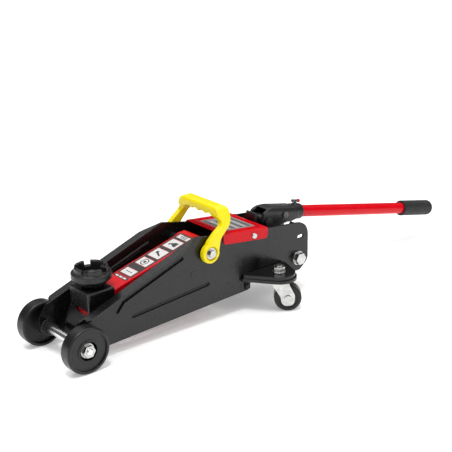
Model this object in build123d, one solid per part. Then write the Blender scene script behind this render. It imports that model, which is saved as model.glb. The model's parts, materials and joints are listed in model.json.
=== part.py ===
from build123d import *
import math
import os

# Compact hydraulic trolley jack, in millimetres.
# Working frame: X runs rearward from the front axle, Y across (+Y is the left side), Z up from the floor.
# Every piece is moved by MID_X on export, so that the origin lies on the floor under the middle of the jack.

# ---------------------------------------------------------------- frame
PLATE_IN = 40.0            # inner face of a side plate, from the mid plane
PLATE_T = 3.0
PLATE_OUT = PLATE_IN + PLATE_T
FLANGE_OUT = 55.0          # outer edge of the folded top flange
FLANGE_FRONT_X = 10.0
FLANGE_TAPER_X = 172.0     # from here the flange narrows into the plate
FLANGE_REAR_X = 202.0
SLOPE_X = 100.0            # a point on the sloping top edge
SLOPE_Z = 102.0
SLOPE = 0.37               # rise of the top edge per unit of length
PANEL_STEP = 1.2           # depth of the step pressed into the rear of the plate
GROOVE_R = 3.0             # round press tool of the grooves
GROOVE_D = 3.4
GROOVE_SKIN = 1.2          # metal left behind a groove

# ---------------------------------------------------------------- front axle and wheels
WHEEL_R = 33.0
WHEEL_W = 20.0
WHEEL_OUT = 68.5
WHEEL_IN = WHEEL_OUT - WHEEL_W
AXLE_R = 5.0               # ends that carry the wheels
AXLE_MID_R = 6.5           # between the plates
RUN_FIT = 0.06             # radial clearance of a running fit
HUB_SEAT = 62.0            # where the axle nut bears on the hub

# ---------------------------------------------------------------- lifting linkage
ARM_X = 222.0              # main pivot of the lift arm
ARM_Z = 112.0
BOLT_X = 53.0              # arm to saddle bracket, arm down
BOLT_Z = 58.0
LINK_DX = -25.0            # lower link pin, seen from the bracket bolt
LINK_DZ = -29.0
ARM_LIFT = 82.3            # travel of the arm in degrees
ARM_HALF = 20.0            # half width of the arm over its cheeks
CRANK_R = 56.0             # crank pin, from the main pivot
CRANK_REST = ARM_LIFT / 2  # crank angle behind straight down, arm down
ROLLER_R = 9.0
ROLLER_GAP = 1.6           # open contact between ram and roller
SHAFT_R = 8.0
BUSH_R = 12.0
LINK_T = 4.0
LINK_IN = 26.0
LINK_HALF_W = 11.5
BRACKET_OUT = 25.0
BRACKET_T = 3.0
BRACKET_FOLD_R = 3.5       # outer radius of the folds
BRACKET_WALL_Z = 63.0      # bottom of the front wall
BRACKET_TOP_Z = 93.3
BRACKET_FRONT_X = 30.0
BRACKET_REAR_X = 72.7

# ---------------------------------------------------------------- saddle
SADDLE_X = 52.0
SADDLE_R = 28.7
SADDLE_RIM_Z = 114.5
LUG_TOP_Z = 123.0
LUG_COUNT = 5
LUG_GAP_DEG = 18.0

# ---------------------------------------------------------------- hydraulic unit
UNIT_Z = 63.0              # axis of cylinder, ram and reservoir
UNIT_FRONT_X = 276.0
UNIT_REAR_X = 356.0
RESERVOIR_R = 30.0
RESERVOIR_T = 2.5
RAM_R = 11.0
CYLINDER_R = 17.0
CYLINDER_BORE = 12.5
BLOCK_REAR_X = 420.0
BLOCK_HALF = 26.0
BLOCK_BOTTOM_Z = 40.0
BLOCK_TOP_Z = 82.0
REAR_BOLT_X = 399.0
REAR_BOLT_Z = 58.0
PUMP_X = 396.0
PUMP_TOP_Z = 92.0
PLUNGER_R = 7.0
PUMP_BARREL_R = 13.0
ANCHOR_X = 366.0           # rear anchor of the return springs
ANCHOR_Z = 47.0
SPRING_Y = 35.0
SPRING_WIRE = 0.8          # radius of the spring wire

# ---------------------------------------------------------------- pump handle
SOCKET_X = 362.0           # pivot of the handle socket
SOCKET_Z = 118.0
HANDLE_DIP = 11.5          # the handle points this far below level at rest
TUBE_W = 12.0              # tube axis above the pivot, in the socket's own frame
TUBE_R = 9.5
TUBE_START = 49.0
TUBE_END = 388.0
GRIP_START = 318.0
GRIP_END = 394.0
GRIP_R = 13.0
COLLAR_END = 77.0
CLAMP_U = 66.0             # clamp screw, along the socket
COLLAR_R = 12.5
PUMP_ROLLER_R = 7.0
ROLLER_U = 33.0
ROLLER_W = 10.5
SOCKET_HALF = 16.5
TONGUE_HALF = 10.2         # half width of the block's pivot tongue
SOCKET_TOP = 22.8          # top of the socket above its pivot
SOCKET_SLOT_TOP = 18.5     # roof of the fork's slot

# ---------------------------------------------------------------- casters
CASTER_X = 335.0           # swivel axis
CASTER_Y = 71.0
CASTER_R = 20.8
CASTER_W = 20.0
CASTER_TRAIL = 13.0
CASTER_TURN = 39.0         # the casters stand turned outward by this angle
SHELF_Z = 60.0
SHELF_R = 26.0
COVE_R = 16.0              # hollow curve between shelf and side plate
COVE_X = 333.0             # middle of that curve

# ---------------------------------------------------------------- cover and carry handle
COVER_FRONT_X = 251.0
COVER_REAR_X = 336.0
COVER_FRONT_Z = 132.0
COVER_REAR_Z = 123.4
COVER_T = 1.5
COVER_SIDE = 43.3          # inner face of the cover's folded sides
CARRY_IN = 44.4
CARRY_OUT = 54.4
CARRY_EYE_R = 15.0
CARRY_LEAN_Z = 36.0        # height above the pivot where the legs start to lean
CARRY_TAPER = 12.0         # each leg leans inward by this much
CARRY_TOP = 63.0           # top of the grip above the pivot
CARRY_GRIP_LOW = 48.5      # underside of the grip above the pivot

# ---------------------------------------------------------------- release valve
VALVE_X = 414.5
VALVE_Z = 74.0
VALVE_TILT = 30.0          # spindle leans back from vertical
VALVE_LEN = 25.0

GRIP_TIP_X = (SOCKET_X + GRIP_END * math.cos(math.radians(HANDLE_DIP))
              + (TUBE_W + GRIP_R) * math.sin(math.radians(HANDLE_DIP)))
MID_X = (GRIP_TIP_X - WHEEL_R) / 2


# ================================================================ helpers
def outline(corners):
    """Closed face through (x, y, radius) corners, each corner rounded by its own radius."""
    edges = []
    starts = []
    ends = []
    count = len(corners)
    for i, (x, y, radius) in enumerate(corners):
        here = Vector(x, y)
        before = Vector(*corners[i - 1][:2])
        after = Vector(*corners[(i + 1) % count][:2])
        u = (before - here).normalized()
        v = (after - here).normalized()
        half = math.acos(max(-1.0, min(1.0, u.dot(v)))) / 2
        if radius == 0:
            starts.append(here)
            ends.append(here)
            continue
        reach = radius / math.tan(half)
        middle = here + (u + v).normalized() * (radius / math.sin(half) - radius)
        starts.append(here + u * reach)
        ends.append(here + v * reach)
        edges.append(ThreePointArc(starts[-1], middle, ends[-1]))
    for i in range(count):
        start = starts[(i + 1) % count]
        if (start - ends[i]).length > 1e-6:
            edges.append(Line(ends[i], start))
    return make_face(edges)


def slab(face, y0, y1):
    """Extrude a face drawn in X and Z from y0 to y1."""
    return Pos(0, y1, 0) * extrude(Plane.XZ * face, amount=y1 - y0)


def block(x0, x1, y0, y1, z0, z1):
    """Box between six planes."""
    return Pos((x0 + x1) / 2, (y0 + y1) / 2, (z0 + z1) / 2) * Box(x1 - x0, y1 - y0, z1 - z0)


def rod_y(x, z, radius, y0, y1):
    """Round bar across the jack."""
    return Pos(x, (y0 + y1) / 2, z) * Rot(90, 0, 0) * Cylinder(radius, y1 - y0)


def rod_x(y, z, radius, x0, x1):
    """Round bar along the jack."""
    return Pos((x0 + x1) / 2, y, z) * Rot(0, 90, 0) * Cylinder(radius, x1 - x0)


def rod_z(x, y, radius, z0, z1):
    """Upright round bar."""
    return Pos(x, y, (z0 + z1) / 2) * Cylinder(radius, z1 - z0)


def hex_y(x, z, flats, y0, y1):
    """Hexagon bar across the jack, size given over its flats."""
    return slab(Pos(x, z) * RegularPolygon(flats / 2, 6, major_radius=False), y0, y1)


def both_sides(part):
    """A piece and its mirror image on the other side, as one group of two solids."""
    return Compound(children=[part, mirror(part, about=Plane.XZ)])


def bar(x0, z0, x1, z1, half):
    """Straight bar with round ends, drawn in X and Z."""
    length = math.hypot(x1 - x0, z1 - z0)
    turn = math.degrees(math.atan2(z1 - z0, x1 - x0))
    return Pos((x0 + x1) / 2, (z0 + z1) / 2) * Rot(0, 0, turn) * SlotCenterToCenter(length, 2 * half)


def coil(radius, wire, length, turns):
    """Open coil spring along Z, starting at Z = 0."""
    path = Helix(length / turns, length, radius)
    start = path @ 0
    profile = Plane(origin=start, z_dir=path % 0) * Circle(wire)
    return sweep(profile, path=path, is_frenet=True)


def turned(radius_height):
    """Solid of revolution about Z through (radius, height) points."""
    face = make_face(Polyline(*radius_height, close=True))
    return revolve(Plane.XZ * face, Axis.Z)


def top_edge(x):
    """Height of the side plate's sloping top edge."""
    return SLOPE_Z + SLOPE * (x - SLOPE_X)


def cover_height(x):
    """Height of the cover's flat top."""
    share = (x - COVER_FRONT_X) / (COVER_REAR_X - COVER_FRONT_X)
    return COVER_FRONT_Z + share * (COVER_REAR_Z - COVER_FRONT_Z)


# ================================================================ frame
def plate_face():
    """Outline of a side plate."""
    under_cover = COVER_T + 0.4
    return outline([
        (FLANGE_FRONT_X, top_edge(FLANGE_FRONT_X), 2),
        (FLANGE_REAR_X, top_edge(FLANGE_REAR_X), 12),
        (COVER_FRONT_X - 4, cover_height(COVER_FRONT_X - 4) - under_cover, 8),
        (COVER_REAR_X + 3, cover_height(COVER_REAR_X + 3) - under_cover, 3),
        (COVER_REAR_X + 14, 119.5, 5),
        (421, 113, 22),
        (421, 50, 16),
        (404, 37, 8),
        (388, 37, 4),
        (378, 46, 5),
        (306, 46, 5),
        (300, 32.5, 5),
        (49, 18.5, 20),
        (-12, 16, 18),
        (-12, 50, 16),
        (2, 66, 6),
    ])


def flange():
    """Outward fold along the sloping top edge, narrowing to nothing at the rear."""
    side = outline([
        (FLANGE_FRONT_X, top_edge(FLANGE_FRONT_X), 0),
        (FLANGE_REAR_X, top_edge(FLANGE_REAR_X), 0),
        (FLANGE_REAR_X, top_edge(FLANGE_REAR_X) - PLATE_T, 0),
        (FLANGE_FRONT_X, top_edge(FLANGE_FRONT_X) - PLATE_T, 0),
    ])
    plan = outline([
        (FLANGE_FRONT_X, PLATE_OUT - 1, 0),
        (FLANGE_FRONT_X, FLANGE_OUT, 7),
        (FLANGE_TAPER_X, FLANGE_OUT, 18),
        (FLANGE_REAR_X, PLATE_OUT - 1, 0),
    ])
    return slab(side, PLATE_IN, FLANGE_OUT) & extrude(plan, amount=200)


def groove_tool(x0, z0, x1, z1, radius):
    """Round bar with ball ends, along the line of a groove in a side plate."""
    length = math.hypot(x1 - x0, z1 - z0)
    turn = math.degrees(math.atan2(z1 - z0, x1 - x0))
    tool = rod_x(0, 0, radius, 0, length) + Sphere(radius) + Pos(length, 0, 0) * Sphere(radius)
    return Pos(x0, PLATE_OUT + GROOVE_R - GROOVE_D, z0) * Rot(0, -turn, 0) * tool


def side_plate():
    """Left side plate with flange, pressed grooves, rear step, slot and holes."""
    plate = slab(plate_face(), PLATE_IN, PLATE_OUT)
    plate += flange()
    rear_field = outline([
        (345, 160, 0), (345, 108, 12), (356, 96, 8), (346, 78, 10), (322, 70, 10),
        (300, 62, 4), (300, 20, 0), (440, 20, 0), (440, 160, 0),
    ])
    outer_skin = slab(rear_field, PLATE_OUT - PANEL_STEP, PLATE_OUT)
    inner_skin = slab(rear_field, PLATE_IN - PANEL_STEP, PLATE_IN) & slab(plate_face(), 0, PLATE_OUT)
    plate = plate - outer_skin + inner_skin
    edge_z = top_edge(176) - 17
    lines = ((90, 50, 222, 62), (74, 76, 176, edge_z), (64, 64, 74, 76))
    for x0, z0, x1, z1 in lines:
        bulge = groove_tool(x0, z0, x1, z1, GROOVE_R + GROOVE_SKIN)
        plate += bulge & block(40, 260, PLATE_IN - GROOVE_R, PLATE_IN + 1, 30, 130)
    for x0, z0, x1, z1 in lines:
        plate -= groove_tool(x0, z0, x1, z1, GROOVE_R)
    plate -= slab(bar(402, 91.5, 408.5, 91.5, 2.9), 0, PLATE_OUT)
    plate -= rod_y(0, WHEEL_R, AXLE_R, 0, PLATE_OUT)
    plate -= rod_y(ARM_X, ARM_Z, 6, 0, PLATE_OUT)
    plate -= rod_y(ARM_X + LINK_DX, ARM_Z + LINK_DZ, 4, 0, PLATE_OUT)
    plate -= rod_y(REAR_BOLT_X, REAR_BOLT_Z, 6, 0, PLATE_OUT)
    plate -= rod_y(309, cover_screw_z(), 2.5, 0, PLATE_OUT)
    return plate


def cover_screw_z():
    """Height of the cover screws."""
    return cover_height(309) - 10


def front_axle():
    """Axle with a collar against each plate and threaded ends for the wheel nuts."""
    axle = rod_y(0, WHEEL_R, AXLE_R, -72, 72)
    axle = chamfer(axle.edges().filter_by(GeomType.CIRCLE), 1)
    axle += rod_y(0, WHEEL_R, AXLE_MID_R, -PLATE_IN, PLATE_IN)
    for side in (-1, 1):
        axle += rod_y(0, WHEEL_R, 8.5, *sorted((side * 24, side * PLATE_IN)))
    return axle


def wheel_spacers():
    """Washers that hold the wheels off the plates."""
    ring = rod_y(0, WHEEL_R, 9, PLATE_OUT, WHEEL_IN - 0.3) - rod_y(0, WHEEL_R, AXLE_R, 0, WHEEL_OUT)
    return both_sides(ring)


def axle_nuts():
    """Flanged nuts on the axle ends."""
    nut = rod_y(0, WHEEL_R, 10.5, HUB_SEAT + 0.3, HUB_SEAT + 2)
    nut += hex_y(0, WHEEL_R, 16, HUB_SEAT + 2, HUB_SEAT + 8)
    nut -= rod_y(0, WHEEL_R, AXLE_R, 0, 80)
    return both_sides(nut)


def front_wheel():
    """Left front wheel: rim, recessed web and hub."""
    wheel = rod_y(0, WHEEL_R, WHEEL_R, WHEEL_IN, WHEEL_OUT)
    wheel = fillet(wheel.edges().filter_by(GeomType.CIRCLE), 2.5)
    for y0, y1 in ((WHEEL_OUT - 2.5, WHEEL_OUT), (WHEEL_IN, WHEEL_IN + 5)):
        ring = rod_y(0, WHEEL_R, 28.5, y0, y1)
        if y1 == WHEEL_OUT:
            wheel -= ring - rod_y(0, WHEEL_R, 16, y0, y0 + 1)
        else:
            wheel -= ring - rod_y(0, WHEEL_R, 13, y0, y1)
    wheel -= rod_y(0, WHEEL_R, 13.5, HUB_SEAT - 4, WHEEL_OUT) - rod_y(0, WHEEL_R, 9, 0, HUB_SEAT)
    return wheel - rod_y(0, WHEEL_R, AXLE_R + RUN_FIT, 0, 80)


# ================================================================ lifting linkage
def crank_point():
    """Centre of the crank pin with the arm down."""
    angle = math.radians(CRANK_REST)
    return ARM_X + CRANK_R * math.sin(angle), ARM_Z - CRANK_R * math.cos(angle)


def arm_web_height(x):
    """Top of the arm's web with the arm down."""
    return 86.5 + 0.277 * (x - 76.5)


def lift_arm():
    """Inverted channel with a crank below its main pivot."""
    crank_x, crank_z = crank_point()
    beam = outline([
        (68, arm_web_height(68), 5), (231, arm_web_height(231), 6), (237, 104, 8),
        (270, 82, 10), (270, 58, 10), (224, 64, 20), (48, 41.5, 12), (37, 58, 10), (50, 74, 6),
    ])
    arm = slab(beam, -ARM_HALF, ARM_HALF)
    inside = outline([
        (20, arm_web_height(20) - 3, 0), (300, arm_web_height(300) - 3, 0), (300, 20, 0), (20, 20, 0),
    ])
    arm -= slab(inside, 3 - ARM_HALF, ARM_HALF - 3)
    edge = arm.edges().filter_by_position(Axis.Z, 84, 140).filter_by(
        lambda e: e.length > 120 and abs(e.center().Y) > ARM_HALF - 1)
    arm = fillet(edge, 2.2)
    arm -= rod_y(ARM_X, ARM_Z, BUSH_R, -30, 30)
    arm -= rod_y(BOLT_X, BOLT_Z, 4.1, -30, 30)
    arm -= rod_y(crank_x, crank_z, 5, -30, 30)
    return arm


def arm_shaft():
    """Main cross shaft, stepped to pass the plates and the carry handle."""
    shaft = rod_y(ARM_X, ARM_Z, SHAFT_R, -PLATE_IN, PLATE_IN)
    shaft += rod_y(ARM_X, ARM_Z, 6, -CARRY_OUT + 3.7, CARRY_OUT - 3.7)
    for side in (-1, 1):
        shaft -= rod_y(ARM_X, ARM_Z, 3, *sorted((side * 36, side * CARRY_OUT)))
    return shaft


def arm_bush():
    """Tube welded through the arm's cheeks, turning on the main shaft."""
    return rod_y(ARM_X, ARM_Z, BUSH_R, -24, 24) - rod_y(ARM_X, ARM_Z, SHAFT_R + RUN_FIT, -24, 24)


def pivot_washers():
    """Washers that hold the carry handle on the main shaft."""
    ring = rod_y(ARM_X, ARM_Z, 8.5, CARRY_OUT - 3.7, CARRY_OUT - 2.1) - rod_y(ARM_X, ARM_Z, 3, 0, 60)
    return both_sides(ring)


def pivot_bolts():
    """Bolts in the ends of the main shaft."""
    bolt = rod_y(ARM_X, ARM_Z, 3, 38, CARRY_OUT - 2.1)
    bolt += hex_y(ARM_X, ARM_Z, 10, CARRY_OUT - 2.1, CARRY_OUT + 2.4)
    return both_sides(bolt)


def crank_pin():
    """Pin through the crank; its ends hold the return springs."""
    x, z = crank_point()
    pin = rod_y(x, z, 5, -38, 38)
    for side in (-1, 1):
        groove = rod_y(x, z, 5, *sorted((side * (SPRING_Y - 1.2), side * (SPRING_Y + 1.2))))
        pin -= groove - rod_y(x, z, 4, -40, 40)
    return pin


def crank_roller():
    """Roller on the crank pin that the ram pushes."""
    x, z = crank_point()
    return rod_y(x, z, ROLLER_R, -16.6, 16.6) - rod_y(x, z, 5 + RUN_FIT, -20, 20)


def link():
    """Left levelling link."""
    face = bar(BOLT_X + LINK_DX, BOLT_Z + LINK_DZ, ARM_X + LINK_DX, ARM_Z + LINK_DZ, LINK_HALF_W)
    part = slab(face, LINK_IN, LINK_IN + LINK_T)
    part -= rod_y(BOLT_X + LINK_DX, BOLT_Z + LINK_DZ, 4.1, 0, 50)
    part -= rod_y(ARM_X + LINK_DX, ARM_Z + LINK_DZ, 5.1, 0, 50)
    return part


def link_studs():
    """Studs in the side plates that carry the rear ends of the links."""
    x = ARM_X + LINK_DX
    z = ARM_Z + LINK_DZ
    stud = rod_y(x, z, 5, 23, LINK_IN + LINK_T + 0.4)
    stud += rod_y(x, z, 9, LINK_IN + LINK_T + 0.4, PLATE_IN)
    stud += rod_y(x, z, 4, PLATE_IN, PLATE_OUT)
    stud += rod_y(x, z, 6, PLATE_OUT, PLATE_OUT + 0.3)
    return both_sides(stud)


def retaining_ring(x, z, shaft, y0, y1):
    """Flat spring ring with an open mouth that points down."""
    ring = rod_y(x, z, shaft + 2.6, y0, y1) - rod_y(x, z, shaft, y0, y1)
    return ring - block(x - shaft * 0.6, x + shaft * 0.6, y0, y1, z - shaft - 3, z)


def stud_clips():
    """Rings that keep the links on their studs."""
    return both_sides(retaining_ring(ARM_X + LINK_DX, ARM_Z + LINK_DZ, 5, 24.2, 25.4))


def link_pin():
    """Cross pin in the lower lobes of the saddle bracket."""
    return rod_y(BOLT_X + LINK_DX, BOLT_Z + LINK_DZ, 4, -33.5, 33.5)


def link_clips():
    """Rings on the ends of the link pin."""
    y0 = LINK_IN + LINK_T + 0.4
    return both_sides(retaining_ring(BOLT_X + LINK_DX, BOLT_Z + LINK_DZ, 4, y0, y0 + 1.2))


def saddle_bracket():
    """Folded bracket: top plate, short front wall and two cheeks with lower lobes."""
    x = BOLT_X + LINK_DX
    z = BOLT_Z + LINK_DZ
    cheek = outline([
        (BRACKET_FRONT_X, BRACKET_TOP_Z, 2), (BRACKET_REAR_X, BRACKET_TOP_Z, 2), (BRACKET_REAR_X, 59, 5),
        (38, 19, 8), (24, 17, 6), (16.5, 27, 6), (19, 40, 14), (BRACKET_FRONT_X, 64, 14),
    ])
    inner = BRACKET_OUT - BRACKET_T
    body = slab(cheek, -BRACKET_OUT, BRACKET_OUT)
    body -= block(0, 120, -inner, inner, 0, BRACKET_TOP_Z - BRACKET_T)
    body += block(BRACKET_FRONT_X, BRACKET_FRONT_X + BRACKET_T, -inner - 1, inner + 1, 66, BRACKET_TOP_Z - 1)
    plan = outline([
        (BRACKET_FRONT_X, -BRACKET_OUT, BRACKET_FOLD_R), (BRACKET_FRONT_X, BRACKET_OUT, BRACKET_FOLD_R),
        (100, BRACKET_OUT, 0), (100, -BRACKET_OUT, 0),
    ])
    across = outline([
        (-BRACKET_OUT, 0, 0), (BRACKET_OUT, 0, 0), (BRACKET_OUT, BRACKET_TOP_Z, BRACKET_FOLD_R),
        (-BRACKET_OUT, BRACKET_TOP_Z, BRACKET_FOLD_R),
    ])
    upper = Pos(0, 0, BRACKET_WALL_Z) * extrude(plan, amount=60)
    body &= upper + block(0, 100, -BRACKET_OUT, BRACKET_OUT, 0, BRACKET_WALL_Z)
    body &= extrude(Plane.YZ * across, amount=100)
    body -= rod_z(SADDLE_X, 0, 10.1, 80, 100)
    body -= rod_y(BOLT_X, BOLT_Z, 4.1, -40, 40)
    body -= rod_y(x, z, 4, -40, 40)
    return body


def bracket_bolt():
    """Bolt that joins the arm to the saddle bracket."""
    bolt = rod_y(BOLT_X, BOLT_Z, 4, -BRACKET_OUT, BRACKET_OUT + 8)
    return bolt + hex_y(BOLT_X, BOLT_Z, 13, -BRACKET_OUT - 5.5, -BRACKET_OUT)


def bracket_nut():
    """Nut on the bracket bolt."""
    nut = hex_y(BOLT_X, BOLT_Z, 13, BRACKET_OUT, BRACKET_OUT + 6.5)
    return nut - rod_y(BOLT_X, BOLT_Z, 4, 0, 60)


def saddle():
    """Cast cup with a castellated inner ring, on a post."""
    seat_z = BRACKET_TOP_Z + 0.3
    cup = turned([
        (0, 82), (10, 82), (10, seat_z), (15, seat_z), (26.5, 104), (SADDLE_R, 106), (SADDLE_R, 109.5),
        (SADDLE_R - 1, 110.2), (SADDLE_R, 111), (SADDLE_R, SADDLE_RIM_Z - 1), (SADDLE_R - 1, SADDLE_RIM_Z),
        (SADDLE_R - 4.5, SADDLE_RIM_Z), (SADDLE_R - 4.5, LUG_TOP_Z - 1), (SADDLE_R - 5.5, LUG_TOP_Z),
        (SADDLE_R - 9, LUG_TOP_Z), (SADDLE_R - 10, LUG_TOP_Z - 2), (SADDLE_R - 11, 108.5), (10, 107),
        (0, 107),
    ])
    for i in range(LUG_COUNT):
        gap_width = SADDLE_R * math.radians(LUG_GAP_DEG)
        gap = Pos(SADDLE_R - 6, 0, LUG_TOP_Z) * Box(20, gap_width, 2 * (LUG_TOP_Z - 115))
        cup -= Rot(0, 0, 360 * i / LUG_COUNT) * gap
    cup -= rod_z(0, 0, 10, 85, 87) - rod_z(0, 0, 8.5, 85, 87)
    return Pos(SADDLE_X, 0, 0) * cup


def saddle_clip():
    """Ring that keeps the saddle post in the bracket."""
    ring = rod_z(0, 0, 13, 85.3, 86.7) - rod_z(0, 0, 8.6, 85.3, 86.7)
    ring -= block(-20, 0, -5, 5, 85, 87)
    return Pos(SADDLE_X, 0, 0) * ring


# ================================================================ hydraulic unit
def valve_block():
    """Cast block with the rear of the cylinder, pump seat, side bosses and the handle's pivot tongue."""
    body = outline([
        (UNIT_REAR_X, BLOCK_BOTTOM_Z - 4, 4), (BLOCK_REAR_X - 6, BLOCK_BOTTOM_Z, 6), (BLOCK_REAR_X, 60, 6),
        (BLOCK_REAR_X, 72, 4), (BLOCK_REAR_X - 6, BLOCK_TOP_Z, 3), (UNIT_REAR_X, BLOCK_TOP_Z, 4),
    ])
    part = slab(body, -BLOCK_HALF, BLOCK_HALF)
    part = fillet(part.edges().filter_by(Axis.X), 4)
    part += rod_x(0, UNIT_Z, RESERVOIR_R + 1, UNIT_REAR_X, UNIT_REAR_X + 8)
    part += rod_y(REAR_BOLT_X, REAR_BOLT_Z, 14, PANEL_STEP - PLATE_IN, PLATE_IN - PANEL_STEP)
    tongue = outline([
        (SOCKET_X + 1, BLOCK_TOP_Z - 4, 0), (381, BLOCK_TOP_Z - 4, 0), (374, 112, 6),
        (SOCKET_X + 8, SOCKET_Z + 9, 7), (SOCKET_X - 9.5, SOCKET_Z + 9.5, 8), (SOCKET_X - 10, 108, 6),
    ])
    part += slab(tongue, -TONGUE_HALF, TONGUE_HALF)
    stop = outline([
        (340, 104, 3), (356, 96, 3), (356, 108, 0), (349, 112, 3), (345.5, 120, 2), (344.5, 134, 3),
        (340, 137, 2),
    ])
    part += slab(stop, -TONGUE_HALF, TONGUE_HALF)
    part -= rod_y(SOCKET_X, SOCKET_Z, 5 + RUN_FIT, -20, 20)
    part -= rod_x(0, UNIT_Z, CYLINDER_BORE, UNIT_REAR_X - 1, 377)
    part -= rod_z(PUMP_X, 0, PUMP_BARREL_R, 52, 100)
    for side in (-1, 1):
        part -= rod_y(REAR_BOLT_X, REAR_BOLT_Z, 6, *sorted((side * 18, side * 60)))
    part -= rod_y(ANCHOR_X, ANCHOR_Z, 3, -60, 60)
    part -= valve_axis() * rod_z(0, 0, 4, -2, 30)
    return part


def valve_axis():
    """Frame of the release valve: origin at the seat, Z out along the spindle."""
    return Pos(VALVE_X, 0, VALVE_Z) * Rot(0, VALVE_TILT, 0)


def release_valve():
    """Release spindle with its knurled and slotted knob."""
    part = rod_z(0, 0, 4 - RUN_FIT, -1.5, VALVE_LEN)
    part += rod_z(0, 0, 5.5, VALVE_LEN - 6, VALVE_LEN + 3)
    for i in range(12):
        flute = Rot(0, 0, 30 * i) * rod_z(5.9, 0, 0.8, VALVE_LEN - 6, VALVE_LEN + 3)
        part -= flute
    part -= Pos(0, 0, VALVE_LEN + 3) * Box(12, 1.6, 3)
    return valve_axis() * part


def reservoir():
    """Oil reservoir shell round the cylinder."""
    shell = rod_x(0, UNIT_Z, RESERVOIR_R, UNIT_FRONT_X, UNIT_REAR_X)
    shell -= rod_x(0, UNIT_Z, RESERVOIR_R - RESERVOIR_T, UNIT_FRONT_X, UNIT_REAR_X)
    return shell - rod_z(300, 0, 5, UNIT_Z, 120)


def ram_cylinder():
    """Pressure cylinder inside the reservoir."""
    tube = rod_x(0, UNIT_Z, CYLINDER_R, UNIT_FRONT_X, UNIT_REAR_X)
    return tube - rod_x(0, UNIT_Z, CYLINDER_BORE, UNIT_FRONT_X, UNIT_REAR_X)


def gland_cap():
    """Front cap that closes the reservoir and guides the ram."""
    cap = rod_x(0, UNIT_Z, RESERVOIR_R + 1, UNIT_FRONT_X - 3.5, UNIT_FRONT_X)
    cap = chamfer(cap.edges().filter_by(GeomType.CIRCLE), 1)
    return cap - rod_x(0, UNIT_Z, RAM_R + RUN_FIT, 200, 300)


def ram_front():
    """X of the ram's pushing face with the arm down."""
    return crank_point()[0] + ROLLER_R + ROLLER_GAP


def ram():
    """Ram with its piston head."""
    part = rod_x(0, UNIT_Z, RAM_R, ram_front(), 372)
    part += rod_x(0, UNIT_Z, CYLINDER_BORE - RUN_FIT, 362, 372)
    return part - (rod_x(0, UNIT_Z, 13, 365.5, 368.5) - rod_x(0, UNIT_Z, 10.5, 360, 374))


def ram_seal():
    """Seal ring in the ram's piston head."""
    return rod_x(0, UNIT_Z, CYLINDER_BORE - RUN_FIT, 365.7, 368.3) - rod_x(0, UNIT_Z, 10.5, 360, 374)


def filler_plug():
    """Rubber plug in the filling hole of the reservoir."""
    top = UNIT_Z + RESERVOIR_R
    return rod_z(300, 0, 5, top - 5, top + 1) + rod_z(300, 0, 7, top, top + 3)


def rear_bolts():
    """Flanged bolts that hold the hydraulic unit between the side plates."""
    face = PLATE_OUT - PANEL_STEP
    bolt = rod_y(REAR_BOLT_X, REAR_BOLT_Z, 6, 20, face + 2.5)
    bolt += rod_y(REAR_BOLT_X, REAR_BOLT_Z, 11, face, face + 2.5)
    bolt += hex_y(REAR_BOLT_X, REAR_BOLT_Z, 17, face + 2.5, face + 9.5)
    return both_sides(bolt)


def spring_anchor():
    """Cross pin that holds the rear ends of the return springs."""
    return rod_y(ANCHOR_X, ANCHOR_Z, 3, -38, 38)


def close_wound(radius, wire, x0, x1):
    """Body of a close-wound tension spring along X, drawn as a stack of touching coils."""
    turns = int((x1 - x0) / (2 * wire))
    edges = []
    for i in range(turns):
        left = Vector(x0 + 2 * wire * i, radius)
        right = Vector(x0 + 2 * wire * (i + 1), radius)
        crown = Vector(x0 + 2 * wire * i + wire, radius + 0.9 * wire)
        edges.append(ThreePointArc(left, crown, right))
    end = x0 + 2 * wire * turns
    edges += Polyline((end, radius), (end, radius - wire), (x0, radius - wire), (x0, radius)).edges()
    return revolve(Plane.XZ * make_face(edges), Axis.X), end


def return_springs():
    """Tension springs that pull the arm down, hooked on the crank pin and the rear anchor."""
    x, z = crank_point()
    run = math.hypot(ANCHOR_X - x, ANCHOR_Z - z)
    dip = math.degrees(math.atan2(z - ANCHOR_Z, ANCHOR_X - x))
    wire = SPRING_WIRE
    front_eye = 4 + wire
    rear_eye = 3 + wire
    coil_start = front_eye + 5
    spring, coil_end = close_wound(3, wire, coil_start, run - rear_eye - 5)
    spring += rod_x(0, 0, wire, front_eye, coil_start + 1)
    spring += rod_x(0, 0, wire, coil_end - 1, run - rear_eye)
    spring += rod_x(0, 0, 3, coil_start, coil_start + 1)
    spring += rod_x(0, 0, 3, coil_end - 1, coil_end)
    spring += Rot(90, 0, 0) * Torus(front_eye + 0.02, wire)
    spring += Pos(run, 0, 0) * Rot(90, 0, 0) * Torus(rear_eye + 0.02, wire)
    return both_sides(Pos(x, SPRING_Y, z) * Rot(0, dip, 0) * spring)


# ================================================================ pump and handle
def pump_cylinder():
    """Pump barrel screwed into the valve block."""
    barrel = rod_z(PUMP_X, 0, PUMP_BARREL_R, 52, BLOCK_TOP_Z)
    hexagon = Pos(PUMP_X, 0, BLOCK_TOP_Z) * extrude(RegularPolygon(12, 6, major_radius=False), amount=6)
    barrel += hexagon
    barrel += rod_z(PUMP_X, 0, 10.2, BLOCK_TOP_Z, PUMP_TOP_Z)
    return barrel - rod_z(PUMP_X, 0, PLUNGER_R + RUN_FIT, 56, 120)


def roller_point():
    """Centre of the pump roller with the handle down."""
    turn = math.radians(HANDLE_DIP)
    x = SOCKET_X + ROLLER_U * math.cos(turn) + ROLLER_W * math.sin(turn)
    z = SOCKET_Z - ROLLER_U * math.sin(turn) + ROLLER_W * math.cos(turn)
    return x, z


def plunger_top():
    """Top face of the plunger, just under the roller."""
    return roller_point()[1] - PUMP_ROLLER_R - 0.35


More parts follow.
